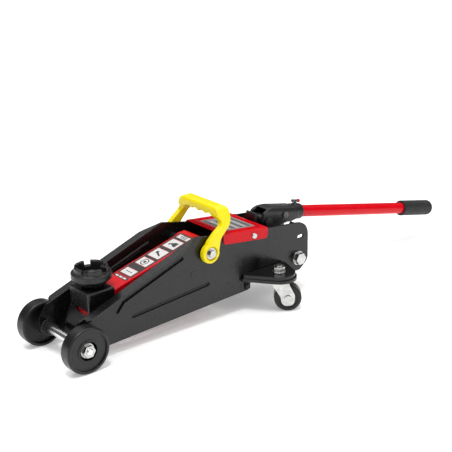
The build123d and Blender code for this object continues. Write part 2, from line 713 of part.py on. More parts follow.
def pump_plunger():
    """Pump plunger with its spring cap."""
    top = plunger_top()
    return rod_z(PUMP_X, 0, PLUNGER_R, 60, top - 3) + rod_z(PUMP_X, 0, 10, top - 3, top)


def pump_spring():
    """Spring that lifts the plunger."""
    low = PUMP_TOP_Z + 1.1
    high = plunger_top() - 3 - 1.1
    return Pos(PUMP_X, 0, low) * coil(8.6, 0.9, high - low, 5)


def in_socket(part):
    """Move a piece from the socket's own frame (U along the tube, origin at the pivot) into place."""
    return Pos(SOCKET_X, 0, SOCKET_Z) * Rot(0, HANDLE_DIP, 0) * part


def handle_socket():
    """Cast socket: fork over the pump, barrel and collar for the tube."""
    fork = outline([
        (-11.5, -7, 7), (-11.5, 12, 6), (-3, 19, 6), (9, SOCKET_TOP, 8), (58, SOCKET_TOP, 6), (62, 17, 3),
        (62, 5, 3), (50, 0, 8), (40, -1, 8), (20, -8, 10),
    ])
    section = outline([
        (-SOCKET_HALF, -30, 0), (SOCKET_HALF, -30, 0), (SOCKET_HALF, SOCKET_TOP + 0.5, 10),
        (-SOCKET_HALF, SOCKET_TOP + 0.5, 10),
    ])
    body = slab(fork, -SOCKET_HALF, SOCKET_HALF)
    body &= extrude(Plane.YZ.offset(-40) * section, amount=140)
    body += rod_x(0, TUBE_W, COLLAR_R, 56, COLLAR_END)
    body += rod_z(CLAMP_U, 0, 4.5, TUBE_W, TUBE_W + COLLAR_R + 1)
    slot_half = TONGUE_HALF + 0.6
    body -= block(-30, 46, -slot_half, slot_half, -40, SOCKET_SLOT_TOP)
    body -= rod_x(0, TUBE_W, TUBE_R, TUBE_START, 120)
    body -= rod_y(0, 0, 5, -40, 40)
    body -= rod_y(ROLLER_U, ROLLER_W, 4, -40, 40)
    body -= rod_z(CLAMP_U, 0, 2.5, TUBE_W, 60)
    return in_socket(body)


def socket_pin():
    """Pivot pin of the handle socket."""
    pin = rod_y(0, 0, 5, -17.5, 17.5)
    pin += rod_y(0, 0, 7, -19, -16.6)
    return in_socket(pin)


def roller_pin():
    """Pin of the pump roller, with a flat round head."""
    pin = rod_y(ROLLER_U, ROLLER_W, 4, -16.6, 18)
    pin += rod_y(ROLLER_U, ROLLER_W, 5.2, -18.4, -16.6)
    pin += rod_y(ROLLER_U, ROLLER_W, 5.2, 16.6, 18.4)
    return in_socket(pin)


def pump_roller():
    """Roller that presses on the plunger."""
    ring = rod_y(ROLLER_U, ROLLER_W, PUMP_ROLLER_R, -9.5, 9.5)
    return in_socket(ring - rod_y(ROLLER_U, ROLLER_W, 4 + RUN_FIT, -20, 20))


def handle_tube():
    """Steel tube of the pump handle."""
    tube = rod_x(0, TUBE_W, TUBE_R, TUBE_START, TUBE_END) - rod_x(0, TUBE_W, TUBE_R - 1.5, 0, 500)
    return in_socket(tube)


def handle_grip():
    """Rubber grip with a domed end."""
    grip = rod_x(0, TUBE_W, GRIP_R, GRIP_START, GRIP_END)
    ends = grip.edges().filter_by(GeomType.CIRCLE).sort_by(Axis.X)
    grip = fillet(ends[-1], 9)
    grip = fillet(grip.edges().filter_by(GeomType.CIRCLE).sort_by(Axis.X)[0], 1.2)
    return in_socket(grip - rod_x(0, TUBE_W, TUBE_R, 0, TUBE_END))


def handle_screw():
    """Screw with a cross bar that clamps the tube in the socket."""
    base = TUBE_W + TUBE_R
    screw = rod_z(CLAMP_U, 0, 2.5, base, base + 7.5)
    bar_z = base + 7.5
    screw += rod_x(0, bar_z, 1.9, CLAMP_U - 6.5, CLAMP_U + 6.5)
    screw += Pos(CLAMP_U + 6, 0, bar_z) * Sphere(2.6)
    screw += Pos(CLAMP_U - 6, 0, bar_z) * Sphere(2.6)
    return in_socket(screw)


# ================================================================ casters
def shelf_plan(radius):
    """Plan of the caster shelf: a disc that runs forward into the side plate."""
    return make_hull([
        *(Pos(CASTER_X, CASTER_Y) * Circle(radius)).edges(),
        *(Pos(288 - radius + SHELF_R, PLATE_OUT + 3) * Circle(3)).edges(),
        *(Pos(366, PLATE_OUT + 3) * Circle(3)).edges(),
    ])


def shelf_gusset():
    """Hollow-curved web that ties the shelf to the side plate."""
    low = SHELF_Z - 1.5
    wall = PLATE_OUT - PANEL_STEP
    cove = block(280, 380, wall, wall + COVE_R, low, low + COVE_R)
    cove -= rod_x(wall + COVE_R, low + COVE_R, COVE_R, 270, 390)
    return cove & Pos(COVE_X, wall, low) * scale(Sphere(COVE_R + 1), by=(1.95, 1, 1))


def caster_shelf():
    """Left caster shelf: flat top welded to the side plate, with a rolled-down rim."""
    plate_y = PLATE_OUT - PANEL_STEP
    top = shelf_plan(SHELF_R - 1.5) - Pos(CASTER_X, plate_y - 50) * Rectangle(200, 100)
    rim = shelf_plan(SHELF_R + 0.8) - Pos(CASTER_X, plate_y - 50) * Rectangle(200, 100)
    shelf = Pos(0, 0, SHELF_Z - 10) * (extrude(top, amount=10) + extrude(rim, amount=4.5))
    hollow = shelf_plan(SHELF_R - 4.1)
    hollow -= Pos(CASTER_X, plate_y - 48) * Rectangle(200, 100)
    shelf -= Pos(0, 0, SHELF_Z - 11) * extrude(hollow, amount=8.2)
    shelf += shelf_gusset()
    shelf -= rod_z(CASTER_X, CASTER_Y, 5, 0, 100)
    lug = block(292, 300, PLATE_OUT, PLATE_OUT + 7, 35, SHELF_Z - 9)
    lug -= block(280, 310, PLATE_OUT + 2.5, PLATE_OUT + 20, 30, SHELF_Z - 14)
    lug += rod_y(296, 40.5, 3, PLATE_OUT + 2, PLATE_OUT + 4.2)
    return shelf + lug


def caster_stem():
    """Left swivel stem with its head inside the fork."""
    stem = rod_z(CASTER_X, CASTER_Y, 5, 46.5, 71)
    stem += rod_z(CASTER_X, CASTER_Y, 8, 46, 49.6)
    return stem


def caster_nut():
    """Left stem nut with its washer face."""
    nut = Pos(CASTER_X, CASTER_Y, SHELF_Z + 1.6) * extrude(RegularPolygon(8, 6, major_radius=False), amount=7.4)
    nut += rod_z(CASTER_X, CASTER_Y, 10.5, SHELF_Z, SHELF_Z + 1.6)
    return nut - rod_z(CASTER_X, CASTER_Y, 5, 0, 100)


def caster_race():
    """Left bearing race between shelf and fork."""
    race = rod_z(CASTER_X, CASTER_Y, 17, 53.4, 57.2) - rod_z(CASTER_X, CASTER_Y, 5, 0, 100)
    return fillet(race.edges().filter_by(GeomType.CIRCLE).sort_by(Axis.Z)[0:1], 1.5)


def in_caster(part):
    """Place a piece drawn about the swivel axis, trailing along +X, on the left caster."""
    return Pos(CASTER_X, CASTER_Y, 0) * Rot(0, 0, CASTER_TURN) * part


def caster_fork():
    """Left stamped caster fork."""
    leg = outline([
        (-13, 53, 3), (13, 53, 3), (14.5, 45, 10), (CASTER_TRAIL + 10.5, 27, 10), (CASTER_TRAIL + 9.5, 10, 9),
        (CASTER_TRAIL - 9.5, 10, 9), (CASTER_TRAIL - 11, 24, 12), (-11.5, 45, 12),
    ])
    legs = slab(leg, -13.4, 13.4) - block(-40, 60, -11.2, 11.2, 0, 100)
    top = rod_z(0, 0, 18, 50.4, 53) + block(-12, 12, -13.4, 13.4, 50.4, 53)
    fork = legs + top - rod_z(0, 0, 5 + RUN_FIT, 0, 100)
    return in_caster(fork - rod_y(CASTER_TRAIL, CASTER_R, 4, -20, 20))


def caster_axle():
    """Left caster axle, riveted in the fork."""
    axle = rod_y(CASTER_TRAIL, CASTER_R, 4, -13.4, 13.4)
    for side in (-1, 1):
        axle += rod_y(CASTER_TRAIL, CASTER_R, 6, *sorted((side * 13.4, side * 15)))
    return in_caster(axle)


def caster_wheel():
    """Left caster wheel."""
    half = CASTER_W / 2
    wheel = rod_y(CASTER_TRAIL, CASTER_R, CASTER_R, -half, half)
    wheel = fillet(wheel.edges().filter_by(GeomType.CIRCLE), 3)
    for y0, y1 in ((-half, -half + 1.5), (half - 1.5, half)):
        wheel -= rod_y(CASTER_TRAIL, CASTER_R, 15, y0, y1) - rod_y(CASTER_TRAIL, CASTER_R, 8, y0, y1)
    return in_caster(wheel - rod_y(CASTER_TRAIL, CASTER_R, 4 + RUN_FIT, -20, 20))


# ================================================================ cover and carry handle
def cover_plate():
    """Folded cover: flat top with a raised border and two rounded side flaps."""
    def strip(x0, x1, y0, y1, up, down):
        face = outline([
            (x0, cover_height(x0) + up, 0), (x1, cover_height(x1) + up, 0),
            (x1, cover_height(x1) - down, 0), (x0, cover_height(x0) - down, 0),
        ])
        return slab(face, y0, y1)

    side = COVER_SIDE + COVER_T
    flap = outline([
        (COVER_FRONT_X, COVER_FRONT_Z, 0), (COVER_REAR_X, COVER_REAR_Z, 0),
        (COVER_REAR_X, COVER_REAR_Z - 17, 6), (COVER_FRONT_X, COVER_FRONT_Z - 16, 6),
    ])
    cover = slab(flap, -side, side)
    cover -= slab(outline([
        (COVER_FRONT_X - 10, cover_height(COVER_FRONT_X - 10) - COVER_T, 0),
        (COVER_REAR_X + 10, cover_height(COVER_REAR_X + 10) - COVER_T, 0),
        (COVER_REAR_X + 10, 80, 0), (COVER_FRONT_X - 10, 80, 0),
    ]), -COVER_SIDE, COVER_SIDE)
    long_edges = cover.edges().filter_by(
        lambda e: e.length > 80 and abs(abs(e.center().Y) - side) < 0.01 and e.center().Z > 125)
    cover = fillet(long_edges, 1.4)
    border = strip(COVER_FRONT_X + 5, COVER_REAR_X - 5, 7 - side, side - 7, 1.2, 0.5)
    border -= strip(COVER_FRONT_X + 9, COVER_REAR_X - 9, 11 - side, side - 11, 3, 3)
    cover += border
    cover -= rod_y(309, cover_screw_z(), 2.6, -60, 60)
    return cover


def cover_screws():
    """Screws through the cover's flaps into the side plates."""
    side = COVER_SIDE + COVER_T
    screw = rod_y(309, cover_screw_z(), 2.5, 38, side)
    head = rod_y(309, cover_screw_z(), 4.6, side, side + 2.6)
    head = fillet(head.edges().filter_by(GeomType.CIRCLE).sort_by(Axis.Y)[-1], 1.6)
    return both_sides(screw + head)


def carry_section(half, top, radius):
    """Section across the jack: upright walls that lean in towards a rounded top."""
    narrow = half - CARRY_TAPER
    return outline([
        (-half, -20, 0), (half, -20, 0), (half, CARRY_LEAN_Z, 6), (narrow, top, radius),
        (-narrow, top, radius), (-half, CARRY_LEAN_Z, 6),
    ])


def carry_handle():
    """Moulded carry handle: two eyes, two legs and a grip with finger bumps."""
    leg = outline([
        (-13, 3, 0), (-3.5, 18.5, 3), (8, 29, 10), (19, 37, 8), (22.5, 43, 5), (17, CARRY_GRIP_LOW, 2.5),
        (17, CARRY_TOP, 6), (39.5, CARRY_TOP, 8), (39.5, 47, 14), (33, 34, 22), (18.5, 19, 12), (14.5, 2, 0),
    ])
    legs = slab(leg + Circle(CARRY_EYE_R), -CARRY_OUT, CARRY_OUT)
    legs = chamfer(legs.faces().filter_by(Axis.Y).edges(), 1.8)
    across = carry_section(CARRY_OUT, CARRY_TOP, 12)
    opening = carry_section(CARRY_IN, CARRY_GRIP_LOW, 7)
    legs &= extrude(Plane.YZ.offset(-30) * across, amount=80)
    legs -= extrude(Plane.YZ.offset(-30) * opening, amount=80)
    for y in (-24, -8, 8, 24):
        legs -= Pos(22, y, CARRY_GRIP_LOW - 4.5) * Rot(0, 90, 0) * Cylinder(7, 60)
    for side in (-1, 1):
        legs -= rod_y(0, 0, 10, *sorted((side * (CARRY_OUT - 3.9), side * 60)))
    legs -= rod_y(0, 0, 6 + RUN_FIT, -60, 60)
    return Pos(ARM_X, 0, ARM_Z) * legs


# ================================================================ assembly
def pair(name, left):
    """The left piece and its mirror image as two named nodes."""
    return {f"{name}_left": left, f"{name}_right": mirror(left, about=Plane.XZ)}


def build_nodes():
    """All named pieces of the jack."""
    nodes = {}
    nodes.update(pair("side_plate", side_plate()))
    nodes.update(pair("front_wheel", front_wheel()))
    nodes.update(pair("link", link()))
    nodes.update(pair("caster_shelf", caster_shelf()))
    nodes.update(pair("caster_fork", caster_fork()))
    nodes.update(pair("caster_axle", caster_axle()))
    nodes.update(pair("caster_wheel", caster_wheel()))
    nodes["caster_stems"] = both_sides(caster_stem())
    nodes["caster_nuts"] = both_sides(caster_nut())
    nodes["caster_races"] = both_sides(caster_race())
    for make in (
        front_axle, wheel_spacers, axle_nuts, lift_arm, arm_shaft, arm_bush, pivot_washers,
        pivot_bolts, crank_pin, crank_roller, link_studs, stud_clips, link_pin, link_clips, saddle_bracket,
        bracket_bolt, bracket_nut, saddle, saddle_clip, valve_block, release_valve, reservoir, ram_cylinder,
        gland_cap, ram, ram_seal, filler_plug, rear_bolts, spring_anchor, return_springs,
        pump_cylinder, pump_plunger, pump_spring, handle_socket, socket_pin, roller_pin, pump_roller,
        handle_tube, handle_grip, handle_screw, cover_plate, cover_screws, carry_handle,
    ):
        nodes[make.__name__] = make()
    return nodes


os.makedirs("parts", exist_ok=True)
for node_name, shape in build_nodes().items():
    export_step(Pos(-MID_X, 0, 0) * shape, f"parts/{node_name}.step")
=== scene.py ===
import json
import math

import bmesh
import bpy
from mathutils import Matrix, Vector


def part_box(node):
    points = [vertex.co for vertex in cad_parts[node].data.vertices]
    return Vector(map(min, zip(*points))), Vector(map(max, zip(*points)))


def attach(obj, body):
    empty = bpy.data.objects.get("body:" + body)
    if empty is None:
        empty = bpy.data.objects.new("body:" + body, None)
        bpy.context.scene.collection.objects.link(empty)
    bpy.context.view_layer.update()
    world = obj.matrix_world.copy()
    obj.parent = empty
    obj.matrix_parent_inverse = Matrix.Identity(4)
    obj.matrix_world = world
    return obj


# Looks of a compact hydraulic trolley jack. Lengths are in millimetres in the jack's own frame: X back
# from the front axle, Y across, Z up from the floor. The studio's are in metres, and so are names in _M.
MM = 0.001
SIDES = ((1, "left"), (-1, "right"))   # sign of Y, and the word in the pieces' names

# ---------------------------------------------------------------- camera and light
CAMERA_TARGET_MM = (291.9, 0.0, 123.8)   # in the jack's own frame
CAMERA_DISTANCE = 1.702
CAMERA_AZIMUTH = 38.89
CAMERA_ELEVATION = 19.49
CAMERA_ROLL = -0.89
CAMERA_LENS = 90.4
CAMERA_SENSOR = 36.0
FLOOR_RADIUS = 14.0
WORLD_STRENGTH = 0.09
FLOOR_GLOW = 0.3
BROAD_FROM = (0.3, 0.2, 2.4)
BROAD_STRENGTH = 2.5
BROAD_SPREAD = 95.0        # degrees across the broad light
KEY_FROM = (-0.5, -0.5, 2.4)
KEY_STRENGTH = 1.1
KEY_SPREAD = 14.0          # degrees across the key light, which draws the edges
SOFTBOX_AIM = (0, 0, 0.1)
SOFTBOXES = (              # name, place in metres, width, height and watts
    ("right_side", (0.9, -1.7, 0.9), 1.4, 1.2, 6),
    ("front", (-1.8, -0.5, 0.8), 1.0, 1.0, 4),
)

# ---------------------------------------------------------------- rounded castings
ROUNDED = (                # node, voxel size in millimetres, smoothing steps
    ("carry_handle", 0.9, 6),
    ("handle_socket", 0.9, 5),
    ("saddle", 0.7, 2),
)

# ---------------------------------------------------------------- arm label
WEB_X = 76.5               # a point on the arm's web
WEB_Z = 86.5
WEB_SLOPE = 0.277
LABEL_T = 0.12             # thickness of a label's film
MARK_T = 0.05              # and of the print on it
ARM_LABEL_X = (105.0, 219.0)
ARM_LABEL_HALF = 16.6
ARM_LABEL_R = 1.5
ARM_STRIP_X = (97.5, 103.0)
ARM_STRIP_R = 0.6
ARM_BOX_SPANS = ((108.0, 121.0), (134.0, 150.0), (156.0, 176.0), (183.0, 203.0), (208.0, 216.0))
ARM_BOX_HALF = 12.6
ARM_BOX_R = 0.8
TRIM_OUTSIDE = (0.9, 1.4)  # how far the trim's edge lies outside its box, and its corner radius
TRIM_INSIDE = (0.2, 0.9)
STRIP_TILES = 3
STRIP_TILE_U = (1.2, 4.2)
STRIP_TILE_HALF = 3.4
STRIP_TILE_STEP = 9.0
STRIP_TILE_R = 0.5
ARROW = ((-5, -7), (-3, -8), (3, 3), (5, 2), (4, 8), (-2, 6), (0, 5))
WEDGE = ((-5, -8), (5, -8), (5, -2), (0, 6), (-5, -4))

# ---------------------------------------------------------------- cover label
COVER_X = 251.0            # front edge of the cover's top
COVER_Z = 132.0
COVER_SLOPE = (123.4 - 132.0) / 85.0
COVER_LABEL_X = (265.0, 324.0)
COVER_LABEL_HALF = 30.0
COVER_LABEL_R = 1.5
COVER_MARGIN = 3.0
COVER_BARS = 7
BAR_GAP = 1.0
BAR_FILL = 0.62            # share of its row that a bar fills
BAR_INSET = 4.0
BAR_STAGGER = 5.0          # the bars' far ends step in by this
BAR_R = 0.5

# ---------------------------------------------------------------- welds, threads and the screw cap
ARM_PIVOT = (222.0, 112.0)             # X and Z
BUSH_WELD_Y = 20.6
BUSH_WELD_R = 12.4
BUSH_WELD_POINTS = 144
FRONT_AXLE = (0.0, 33.0)               # X and Z
COLLAR_WELD_Y = 39.3
COLLAR_WELD_R = 8.9
COLLAR_WELD_POINTS = 96
COLLAR_START_M = (0.0237, 0.0239)      # the collars' black paint starts and ends between these
COLLAR_END_M = (0.0404, 0.0406)
BEAD_R = 1.7
BEAD_RIPPLE = 0.16
THREAD_PITCH = 1.5
THREAD_DEPTH = 0.08        # share of the thread's radius
THREAD_SEGMENTS = 32
THREAD_ROWS = 10           # rows of points in one pitch
AXLE_THREAD = (66.3, 71.0, 5.2)        # start, end and radius of the threaded ends
BOLT_THREAD = (31.7, 32.9, 4.15)
STEM_THREAD = (69.2, 70.9, 5.15)
BRACKET_BOLT = (53.0, 58.0)            # X and Z
CASTER_STEM = (335.0, 71.0)            # X and Y
SOCKET_PIVOT = (362.0, 118.0)          # X and Z
HANDLE_DIP = 11.5                      # degrees that the handle falls towards its grip at rest
TIP_U = 72.2                           # middle of the clamp screw's cap, along the socket
TIP_W = 29.0                           # and above the socket's pivot
TIP_R = 3.0
TIP_REACH = 3.0                        # half of the cap's length
TIP_STEPS = 8                          # rows of points in that half
TIP_END = 0.12                         # radius of the cap's flat ends, as a share of TIP_R
TIP_SEGMENTS = 24

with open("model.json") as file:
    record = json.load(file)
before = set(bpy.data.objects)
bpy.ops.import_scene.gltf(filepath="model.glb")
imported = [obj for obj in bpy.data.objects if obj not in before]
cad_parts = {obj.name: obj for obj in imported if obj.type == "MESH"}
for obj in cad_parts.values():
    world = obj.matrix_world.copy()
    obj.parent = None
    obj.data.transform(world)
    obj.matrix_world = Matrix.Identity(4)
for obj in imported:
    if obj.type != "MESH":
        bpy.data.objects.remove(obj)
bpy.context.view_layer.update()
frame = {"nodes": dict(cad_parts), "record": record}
nodes = frame["nodes"]


# ================================================================ frame of the jack
def box_middle(name):
    """Middle of a CAD node's box."""
    low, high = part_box(name)
    return (low + high) / 2


AXLE_X = box_middle("front_axle").x


def jack(x, y, z):
    """A point of the jack's own frame, in metres in the row frame."""
    return Vector((AXLE_X + x * MM, y * MM, z * MM))


# ================================================================ mesh helpers
def mesh_piece(name, bm, finish, body):
    """Turn a bmesh into a named piece that rides on a body."""
    bmesh.ops.recalc_face_normals(bm, faces=bm.faces)
    mesh = bpy.data.meshes.new(name)
    bm.to_mesh(mesh)
    bm.free()
    piece = bpy.data.objects.new(name, mesh)
    bpy.context.scene.collection.objects.link(piece)
    mesh.materials.append(finish)
    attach(piece, body)
    return piece


def shade_smooth(piece, degrees=40):
    """Smooth shading with sharp edges kept."""
    for polygon in piece.data.polygons:
        polygon.use_smooth = True
    piece.data.set_sharp_from_angle(angle=math.radians(degrees))


def prism(bm, points, low, high, place):
    """Closed prism over a flat outline, given in the label's own frame in millimetres."""
    bottom = [bm.verts.new(place @ Vector((u, v, low))) for u, v in points]
    top = [bm.verts.new(place @ Vector((u, v, high))) for u, v in points]
    bm.faces.new(bottom[::-1])
    bm.faces.new(top)
    count = len(points)
    for i in range(count):
        j = (i + 1) % count
        bm.faces.new((bottom[i], bottom[j], top[j], top[i]))


def skin(bm, rows, loop=False):
    """Faces between rows of points. The ends are capped unless the rows close into a loop."""
    total = len(rows)
    count = len(rows[0])
    for i in range(total if loop else total - 1):
        here = rows[i]
        there = rows[(i + 1) % total]
        for k in range(count):
            j = (k + 1) % count
            bm.faces.new((here[k], here[j], there[j], there[k]))
    if not loop:
        bm.faces.new(rows[0][::-1])
        bm.faces.new(rows[-1])


def ring_prism(bm, outer, inner, low, high, place):
    """Closed frame between two outlines with the same number of points."""
    rows = []
    for points, height in ((outer, low), (outer, high), (inner, high), (inner, low)):
        rows.append([bm.verts.new(place @ Vector((u, v, height))) for u, v in points])
    skin(bm, rows, loop=True)


def rounded(u0, u1, v0, v1, radius, steps=5):
    """Outline of a rectangle with round corners."""
    centres = ((u1 - radius, v1 - radius, 0), (u0 + radius, v1 - radius, 90),
               (u0 + radius, v0 + radius, 180), (u1 - radius, v0 + radius, 270))
    points = []
    for cu, cv, start in centres:
        for k in range(steps + 1):
            angle = math.radians(start + 90 * k / steps)
            points.append((cu + radius * math.cos(angle), cv + radius * math.sin(angle)))
    return points


def circle(u, v, radius, count=28):
    """Outline of a disc."""
    points = []
    for k in range(count):
        angle = 2 * math.pi * k / count
        points.append((u + radius * math.cos(angle), v + radius * math.sin(angle)))
    return points


def tube(bm, points, radius_at, count=14, loop=False):
    """Closed tube along points, with radius_at giving the radius at each of them."""
    rows = []
    total = len(points)
    for i, point in enumerate(points):
        before = points[(i - 1) % total] if loop or i > 0 else points[0]
        after = points[(i + 1) % total] if loop or i < total - 1 else points[-1]
        along = (after - before).normalized()
        side = along.cross(Vector((0.12, 0.31, 1))).normalized()
        up = side.cross(along).normalized()
        row = []
        for k in range(count):
            angle = 2 * math.pi * k / count
            offset = side * math.cos(angle) + up * math.sin(angle)
            row.append(bm.verts.new(point + radius_at(i) * offset))
        rows.append(row)
    skin(bm, rows, loop)


# ================================================================ materials
class Finish:
    """A material with a principled shader and short calls for its nodes."""

    def __init__(self, name, colour, metallic=0.0, roughness=0.5, specular=0.5):
        self.material = bpy.data.materials.new(name)
        self.material.use_nodes = True
        self.material.diffuse_color = (*colour, 1)
        self.tree = self.material.node_tree
        self.shader = self.tree.nodes["Principled BSDF"]
        self.shader.inputs["Base Color"].default_value = (*colour, 1)
        self.shader.inputs["Metallic"].default_value = metallic
        self.shader.inputs["Roughness"].default_value = roughness
        self.shader.inputs["Specular IOR Level"].default_value = specular
        self.place = self.tree.nodes.new("ShaderNodeTexCoord").outputs["Object"]

    def node(self, kind, **values):
        """New node with its properties and its unlinked inputs set."""
        made = self.tree.nodes.new(kind)
        for key, value in values.items():
            if key in made.inputs:
                made.inputs[key].default_value = value
            else:
                setattr(made, key, value)
        return made

    def link(self, output, target):
        """Link two sockets."""
        self.tree.links.new(output, target)

    def noise(self, size_mm, detail=3.0):
        """Noise whose grain is about size_mm across."""
        made = self.node("ShaderNodeTexNoise", Detail=detail, Scale=1 / (size_mm * MM))
        self.link(self.place, made.inputs["Vector"])
        return made.outputs["Fac"]

    def span(self, value, low, high, start=0.3, end=0.7):
        """Map a value between start and end onto low to high."""
        made = self.node("ShaderNodeMapRange")
        made.inputs["From Min"].default_value = start
        made.inputs["From Max"].default_value = end
        made.inputs["To Min"].default_value = low
        made.inputs["To Max"].default_value = high
        self.link(value, made.inputs["Value"])
        return made.outputs["Result"]

    def mix(self, factor, first, second):
        """Blend two colours; either may be a socket or a plain colour."""
        made = self.node("ShaderNodeMix", data_type="RGBA")
        for value, target in ((first, made.inputs[6]), (second, made.inputs[7])):
            if isinstance(value, tuple):
                target.default_value = (*value, 1)
            else:
                self.link(value, target)
        self.link(factor, made.inputs[0])
        return made.outputs[2]

    def multiply(self, first, second):
        """Product of two sockets."""
        made = self.node("ShaderNodeMath", operation="MULTIPLY")
        self.link(first, made.inputs[0])
        self.link(second, made.inputs[1])
        return made.outputs["Value"]

    def worn_and_highlit_edges(self, radius_mm, start, end):
        """Mask for worn edges with a painted highlight: 1 on convex and concave edges, 0 on flat areas,
        broken up by noise.
        """
        bevel = self.node("ShaderNodeBevel", samples=6, Radius=radius_mm * MM)
        plain = self.node("ShaderNodeNewGeometry").outputs["Normal"]
        dot = self.node("ShaderNodeVectorMath", operation="DOT_PRODUCT")
        self.link(bevel.outputs["Normal"], dot.inputs[0])
        self.link(plain, dot.inputs[1])
        edge = self.span(dot.outputs["Value"], 1.0, 0.0, 0.9, 0.998)
        return self.multiply(edge, self.span(self.noise(3.0, 5.0), 0.0, 1.0, start, end))

    def soft_edges(self, radius_mm):
        """Normal that rounds hard edges by a small radius."""
        return self.node("ShaderNodeBevel", samples=6, Radius=radius_mm * MM).outputs["Normal"]

    def bump(self, height, depth_mm, normal=None):
        """Bump from a height socket, on top of another normal if one is given."""
        made = self.node("ShaderNodeBump", Strength=1.0, Distance=depth_mm * MM)
        self.link(height, made.inputs["Height"])
        if normal is not None:
            self.link(normal, made.inputs["Normal"])
        return made.outputs["Normal"]

    def finish(self, colour, roughness, normal):
        """Link the three textured inputs of the shader."""
        self.link(colour, self.shader.inputs["Base Color"])
        self.link(roughness, self.shader.inputs["Roughness"])
        self.link(normal, self.shader.inputs["Normal"])
        return self.material


def paint(name, colour, patch, worn_and_highlit_tone, roughness, peel_mm, specular, edge_mm=0.7):
    """Sprayed paint: faint mottling, orange peel and softened edges, lightly worn and with a painted
    highlight along them.
    """
    f = Finish(name, colour, roughness=roughness[0], specular=specular)
    tone = f.mix(f.span(f.noise(26.0, 4.0), 0.0, 1.0), colour, patch)
    speck = f.span(f.noise(1.1, 2.0), 0.0, 1.0, 0.68, 0.8)
    tone = f.mix(f.multiply(speck, f.span(f.noise(14.0), 0.0, 0.35)), tone, worn_and_highlit_tone)
    # the edges turn lighter: partly worn paint, partly a painted highlight
    tone = f.mix(f.worn_and_highlit_edges(edge_mm, 0.56, 0.72), tone, worn_and_highlit_tone)
    gloss = f.span(f.noise(9.0, 5.0), *roughness)
    normal = f.bump(f.noise(peel_mm, 2.0), 0.02, f.soft_edges(edge_mm))
    return f.finish(tone, gloss, normal)


def plated(name, colour, tint, roughness):
    """Bright zinc or nickel plating: cloudy tint, fine drawing marks and soft edges."""
    f = Finish(name, colour, metallic=1.0, roughness=roughness[0])
    tone = f.mix(f.span(f.noise(7.0, 4.0), 0.0, 1.0), colour, tint)
    gloss = f.span(f.noise(2.2, 5.0), *roughness)
    normal = f.bump(f.noise(0.5, 3.0), 0.006, f.soft_edges(0.35))
    return f.finish(tone, gloss, normal)


def cast(name, colour, patch, depth_mm, roughness):
    """Coated casting: sand-cast grain under a thin coat."""
    f = Finish(name, colour, roughness=roughness[0])
    tone = f.mix(f.span(f.noise(9.0, 5.0), 0.0, 1.0), colour, patch)
    # lighter edges: partly a worn coat, partly a painted highlight
    tone = f.mix(f.worn_and_highlit_edges(0.9, 0.5, 0.7), tone, tuple(min(1.0, 4 * c + 0.02) for c in colour))
    gloss = f.span(f.noise(3.0, 5.0), *roughness)
    grain = f.bump(f.noise(1.4, 6.0), depth_mm, f.soft_edges(0.9))
    pits = f.span(f.noise(4.5, 3.0), 0.0, 1.0, 0.25, 0.42)
    return f.finish(tone, gloss, f.bump(pits, depth_mm, grain))


def moulded(name, colour, patch, roughness, grain_mm, depth_mm, edge_mm=0.6):
    """Moulded plastic or rubber: fine texture and slight colour drift."""
    f = Finish(name, colour, roughness=roughness[0], specular=0.4)
    tone = f.mix(f.span(f.noise(30.0, 3.0), 0.0, 1.0), colour, patch)
    gloss = f.span(f.noise(5.0, 4.0), *roughness)
    normal = f.bump(f.noise(grain_mm, 2.0), depth_mm, f.soft_edges(edge_mm))
    return f.finish(tone, gloss, normal)


def axle_finish():
    """Zinc-plated axle whose two collars are painted black."""
    f = Finish("axle_zinc_and_paint", (0.78, 0.78, 0.77), roughness=0.25)
    split = f.node("ShaderNodeSeparateXYZ")
    f.link(f.place, split.inputs["Vector"])
    side = f.node("ShaderNodeMath", operation="ABSOLUTE")
    f.link(split.outputs["Y"], side.inputs[0])
    outside = f.span(side.outputs["Value"], 0.0, 1.0, *COLLAR_START_M)
    inside = f.span(side.outputs["Value"], 1.0, 0.0, *COLLAR_END_M)
    collar = f.multiply(outside, inside)
    tone = f.mix(f.span(f.noise(7.0, 4.0), 0.0, 1.0), (0.80, 0.80, 0.79), (0.70, 0.71, 0.70))
    tone = f.mix(collar, tone, (0.016, 0.016, 0.017))
    f.link(f.span(collar, 1.0, 0.0, 0.0, 1.0), f.shader.inputs["Metallic"])
    gloss = f.span(f.noise(2.2, 5.0), 0.18, 0.34)
    return f.finish(tone, gloss, f.bump(f.noise(0.6, 3.0), 0.008, f.soft_edges(0.4)))


def printed(name, colour, patch):
    """Print or vinyl under a clear film."""
    f = Finish(name, colour, roughness=0.3)
    tone = f.mix(f.span(f.noise(6.0, 4.0), 0.0, 1.0), colour, patch)
    gloss = f.span(f.noise(12.0, 4.0), 0.22, 0.4)
    return f.finish(tone, gloss, f.bump(f.noise(2.0, 2.0), 0.004))


def floor_finish():
    """Pale studio floor, softly lit from below, with a barely visible tone change."""
    f = Finish("studio_floor", (0.9, 0.9, 0.9), roughness=0.9, specular=0.1)
    f.shader.inputs["Emission Color"].default_value = (1, 1, 1, 1)
    f.shader.inputs["Emission Strength"].default_value = FLOOR_GLOW
    tone = f.mix(f.span(f.noise(400.0, 2.0), 0.0, 1.0), (0.90, 0.90, 0.90), (0.92, 0.92, 0.92))
    gloss = f.span(f.noise(90.0, 2.0), 0.85, 0.95)
    return f.finish(tone, gloss, f.bump(f.noise(20.0), 0.01))


